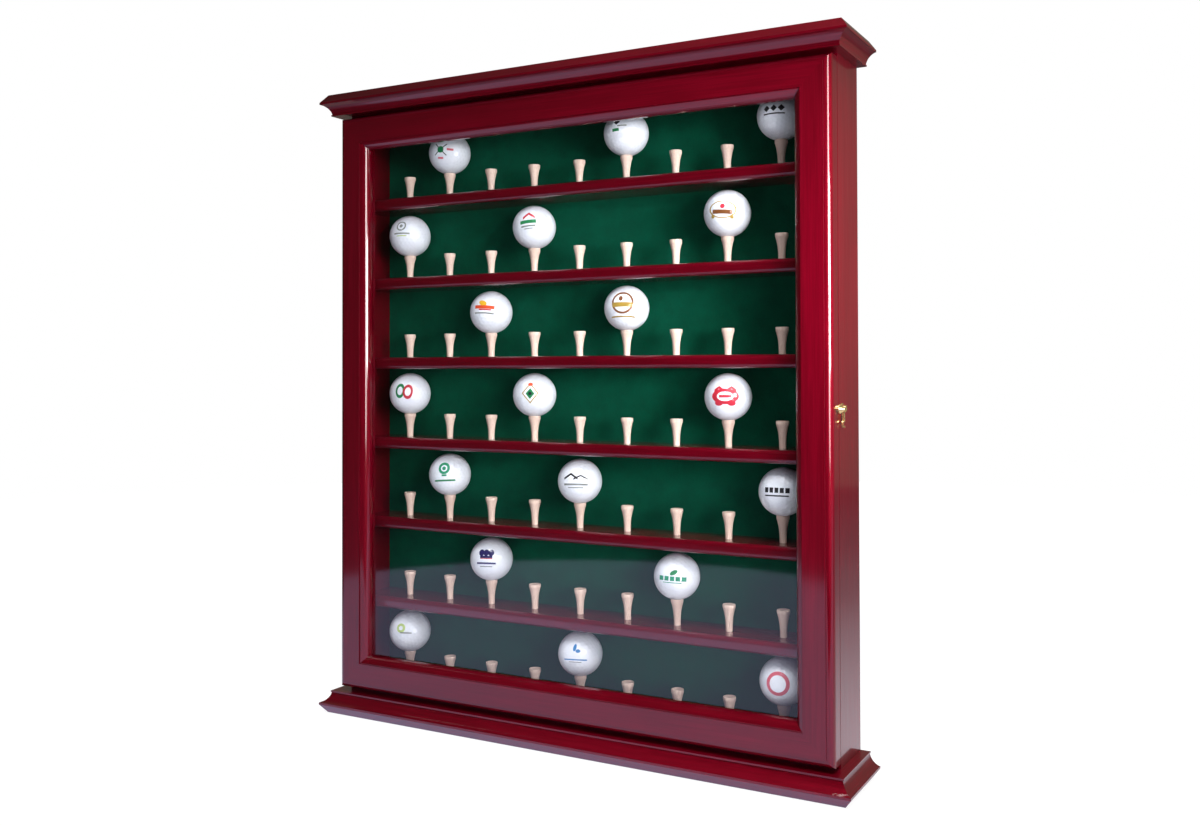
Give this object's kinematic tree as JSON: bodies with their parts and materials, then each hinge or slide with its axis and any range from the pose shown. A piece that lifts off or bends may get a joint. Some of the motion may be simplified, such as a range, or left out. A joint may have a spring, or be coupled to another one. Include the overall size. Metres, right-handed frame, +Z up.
{
  "type": "golf ball display case",
  "caption": "Shallow glazed wooden display case with a side-hinged door, felt-lined back and shelves of wooden tees that hold golf balls in rows.",
  "frame": {"origin": "centre of the underside of the base, at the middle of the overall width and depth", "axes": "+X to the right seen from the front, +Y to the back, +Z up; the door faces -Y"},
  "size_m": [0.563, 0.086, 0.6407],
  "materials": {
    "cherry_lacquer": "high-gloss dark cherry lacquer",
    "green_felt": "short-napped green felt",
    "natural_wood": "pale unfinished hardwood",
    "white_urethane": "glossy white",
    "clear_glass": "clear float glass",
    "polished_brass": "polished"
  },
  "bodies": {
    "case": {"base_board": "cherry_lacquer", "base_moulding_front": "cherry_lacquer", "base_moulding_left": "cherry_lacquer", "base_moulding_right": "cherry_lacquer", "crown_board": "cherry_lacquer", "crown_moulding_front": "cherry_lacquer", "crown_moulding_left": "cherry_lacquer", "crown_moulding_right": "cherry_lacquer", "side_panel_left": "cherry_lacquer", "side_panel_right": "cherry_lacquer", "floor_panel": "cherry_lacquer", "ceiling_panel": "cherry_lacquer", "back_panel": "cherry_lacquer", "felt_lining": "green_felt", "shelf_1": "cherry_lacquer", "shelf_2": "cherry_lacquer", "shelf_3": "cherry_lacquer", "shelf_4": "cherry_lacquer", "shelf_5": "cherry_lacquer", "shelf_6": "cherry_lacquer", "tees": "natural_wood", "golf_balls": "white_urethane", "hinge_lower_case_leaf": "polished_brass", "hinge_upper_case_leaf": "polished_brass", "hinge_lower_pin": "polished_brass", "hinge_upper_pin": "polished_brass", "latch_pivot": "polished_brass"},
    "door": {"door_stile_left": "cherry_lacquer", "door_stile_right": "cherry_lacquer", "door_rail_top": "cherry_lacquer", "door_rail_bottom": "cherry_lacquer", "door_glass": "clear_glass", "glazing_strips": "cherry_lacquer", "hinge_lower_door_leaf": "polished_brass", "hinge_upper_door_leaf": "polished_brass", "latch_stud": "polished_brass"},
    "hook": {"latch_hook": "polished_brass"}
  },
  "joints": [
    {"name": "door_hinge", "type": "hinge", "parent": "case", "child": "door", "pos_m": [-0.26658, -0.01349, 0], "axis": [0, 0, -1], "range_deg": [0, 180]},
    {"name": "hook_pivot", "type": "hinge", "parent": "case", "child": "hook", "pos_m": [0.26398, -0.00698, 0.32108], "axis": [1, 0, 0], "range_deg": [0, 270]}
  ]
}
